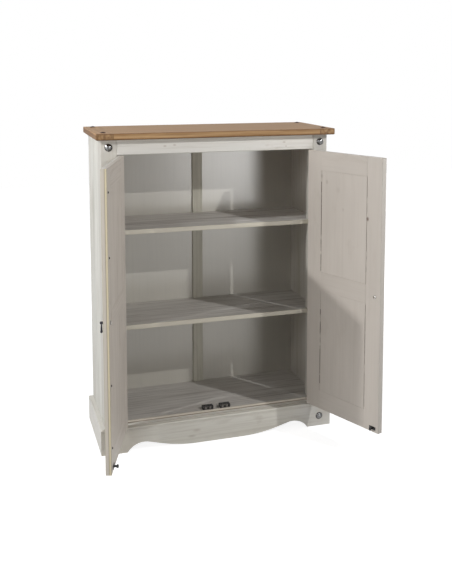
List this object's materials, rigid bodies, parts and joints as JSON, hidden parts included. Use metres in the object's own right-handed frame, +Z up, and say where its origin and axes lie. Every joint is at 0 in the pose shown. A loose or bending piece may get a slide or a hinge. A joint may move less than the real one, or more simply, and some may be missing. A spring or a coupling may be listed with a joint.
{
  "type": "cupboard",
  "caption": "Two-door washed pine cupboard with a waxed top, inset panelled doors, fixed shelves and a shaped plinth.",
  "frame": {"origin": "middle of the front plane of the posts at floor level, on the underside of the plinth board", "axes": "+X to the right along the front, +Y from the front to the back, +Z up"},
  "size_m": [1.0206, 0.7117, 1.2025],
  "materials": {
    "washed_pine": "grey-white washed, low sheen",
    "waxed_pine": "brown wax, satin",
    "cream_wood": "cream painted edge, low sheen",
    "silvered_stud": "polished dome, dark rim",
    "dark_iron": "dark, waxed",
    "steel_hinge": "satin",
    "steel_screw": "zinc plated",
    "black_steel": "black lacquer",
    "black_plastic": "matte"
  },
  "bodies": {
    "carcase": {"back_batten": "washed_pine", "back_panel_left": "washed_pine", "back_panel_right": "washed_pine", "bottom_front_rail": "washed_pine", "bottom_panel": "washed_pine", "catch_left_housing": "black_steel", "catch_right_housing": "black_steel", "front_post_left": "washed_pine", "front_post_right": "washed_pine", "front_studs": "silvered_stud", "hinge_pins": "steel_hinge", "hinge_post_leaves": "steel_hinge", "hinge_post_screws": "steel_screw", "lower_shelf": "washed_pine", "plinth_blocks": "washed_pine", "plinth_front": "washed_pine", "plinth_side_left": "washed_pine", "plinth_side_right": "washed_pine", "side_panel_left": "washed_pine", "side_panel_right": "washed_pine", "top_end_batten_left": "waxed_pine", "top_end_batten_right": "waxed_pine", "top_fixing_screws": "steel_screw", "top_front_rail": "washed_pine", "top_planks": "waxed_pine", "top_rear_rail": "washed_pine", "top_studs": "dark_iron", "upper_shelf": "washed_pine"},
    "left_door": {"left_door_bottom_rail": "washed_pine", "left_door_edge_strip": "cream_wood", "left_door_hinge_stile": "washed_pine", "left_door_lock_stile": "washed_pine", "left_door_lower_panel": "washed_pine", "left_door_mid_rail": "washed_pine", "left_door_top_rail": "washed_pine", "left_door_upper_panel": "washed_pine", "left_handle_bolt": "steel_screw", "left_handle_rosette": "dark_iron", "left_hinge_door_leaves": "steel_hinge", "left_hinge_door_screws": "steel_screw", "left_strike": "black_steel", "left_strip_screws": "steel_screw"},
    "right_door": {"right_door_bottom_rail": "washed_pine", "right_door_hinge_stile": "washed_pine", "right_door_lock_stile": "washed_pine", "right_door_lower_panel": "washed_pine", "right_door_mid_rail": "washed_pine", "right_door_top_rail": "washed_pine", "right_door_upper_panel": "washed_pine", "right_handle_bolt": "steel_screw", "right_handle_rosette": "dark_iron", "right_hinge_door_leaves": "steel_hinge", "right_hinge_door_screws": "steel_screw", "right_strike": "black_steel"},
    "left_drop": {"left_handle_drop": "dark_iron"},
    "right_drop": {"right_handle_drop": "dark_iron"},
    "catch_left_roller_inner_jaw": {"catch_left_roller_inner": "black_plastic"},
    "catch_left_roller_outer_jaw": {"catch_left_roller_outer": "black_plastic"},
    "catch_right_roller_inner_jaw": {"catch_right_roller_inner": "black_plastic"},
    "catch_right_roller_outer_jaw": {"catch_right_roller_outer": "black_plastic"}
  },
  "joints": [
    {"name": "left_door_hinge", "type": "hinge", "parent": "carcase", "child": "left_door", "pos_m": [-0.38, -0.004, 0.60715], "axis": [0, 0, -1], "range_deg": [-107.7, 62.3]},
    {"name": "left_drop_swing", "type": "hinge", "parent": "left_door", "child": "left_drop", "pos_m": [-0.49243, -0.33656, 0.607], "axis": [0.304, 0.9527, 0], "range_deg": [-6, 75]},
    {"name": "right_door_hinge", "type": "hinge", "parent": "carcase", "child": "right_door", "pos_m": [0.38, -0.004, 0.60715], "axis": [0, 0, 1], "range_deg": [-112.1, 57.9]},
    {"name": "right_drop_swing", "type": "hinge", "parent": "right_door", "child": "right_drop", "pos_m": [0.51761, -0.32695, 0.607], "axis": [0.3762, -0.9265, 0], "range_deg": [-6, 75]},
    {"name": "catch_left_roller_inner_slide", "type": "slide", "parent": "carcase", "child": "catch_left_roller_inner_jaw", "axis": [1, 0, 0], "range_m": [0, 0.0025], "stiffness_N_per_m": 500},
    {"name": "catch_left_roller_outer_slide", "type": "slide", "parent": "carcase", "child": "catch_left_roller_outer_jaw", "axis": [-1, 0, 0], "range_m": [0, 0.0025], "stiffness_N_per_m": 500},
    {"name": "catch_right_roller_inner_slide", "type": "slide", "parent": "carcase", "child": "catch_right_roller_inner_jaw", "axis": [-1, 0, 0], "range_m": [0, 0.0025], "stiffness_N_per_m": 500},
    {"name": "catch_right_roller_outer_slide", "type": "slide", "parent": "carcase", "child": "catch_right_roller_outer_jaw", "axis": [1, 0, 0], "range_m": [0, 0.0025], "stiffness_N_per_m": 500}
  ]
}
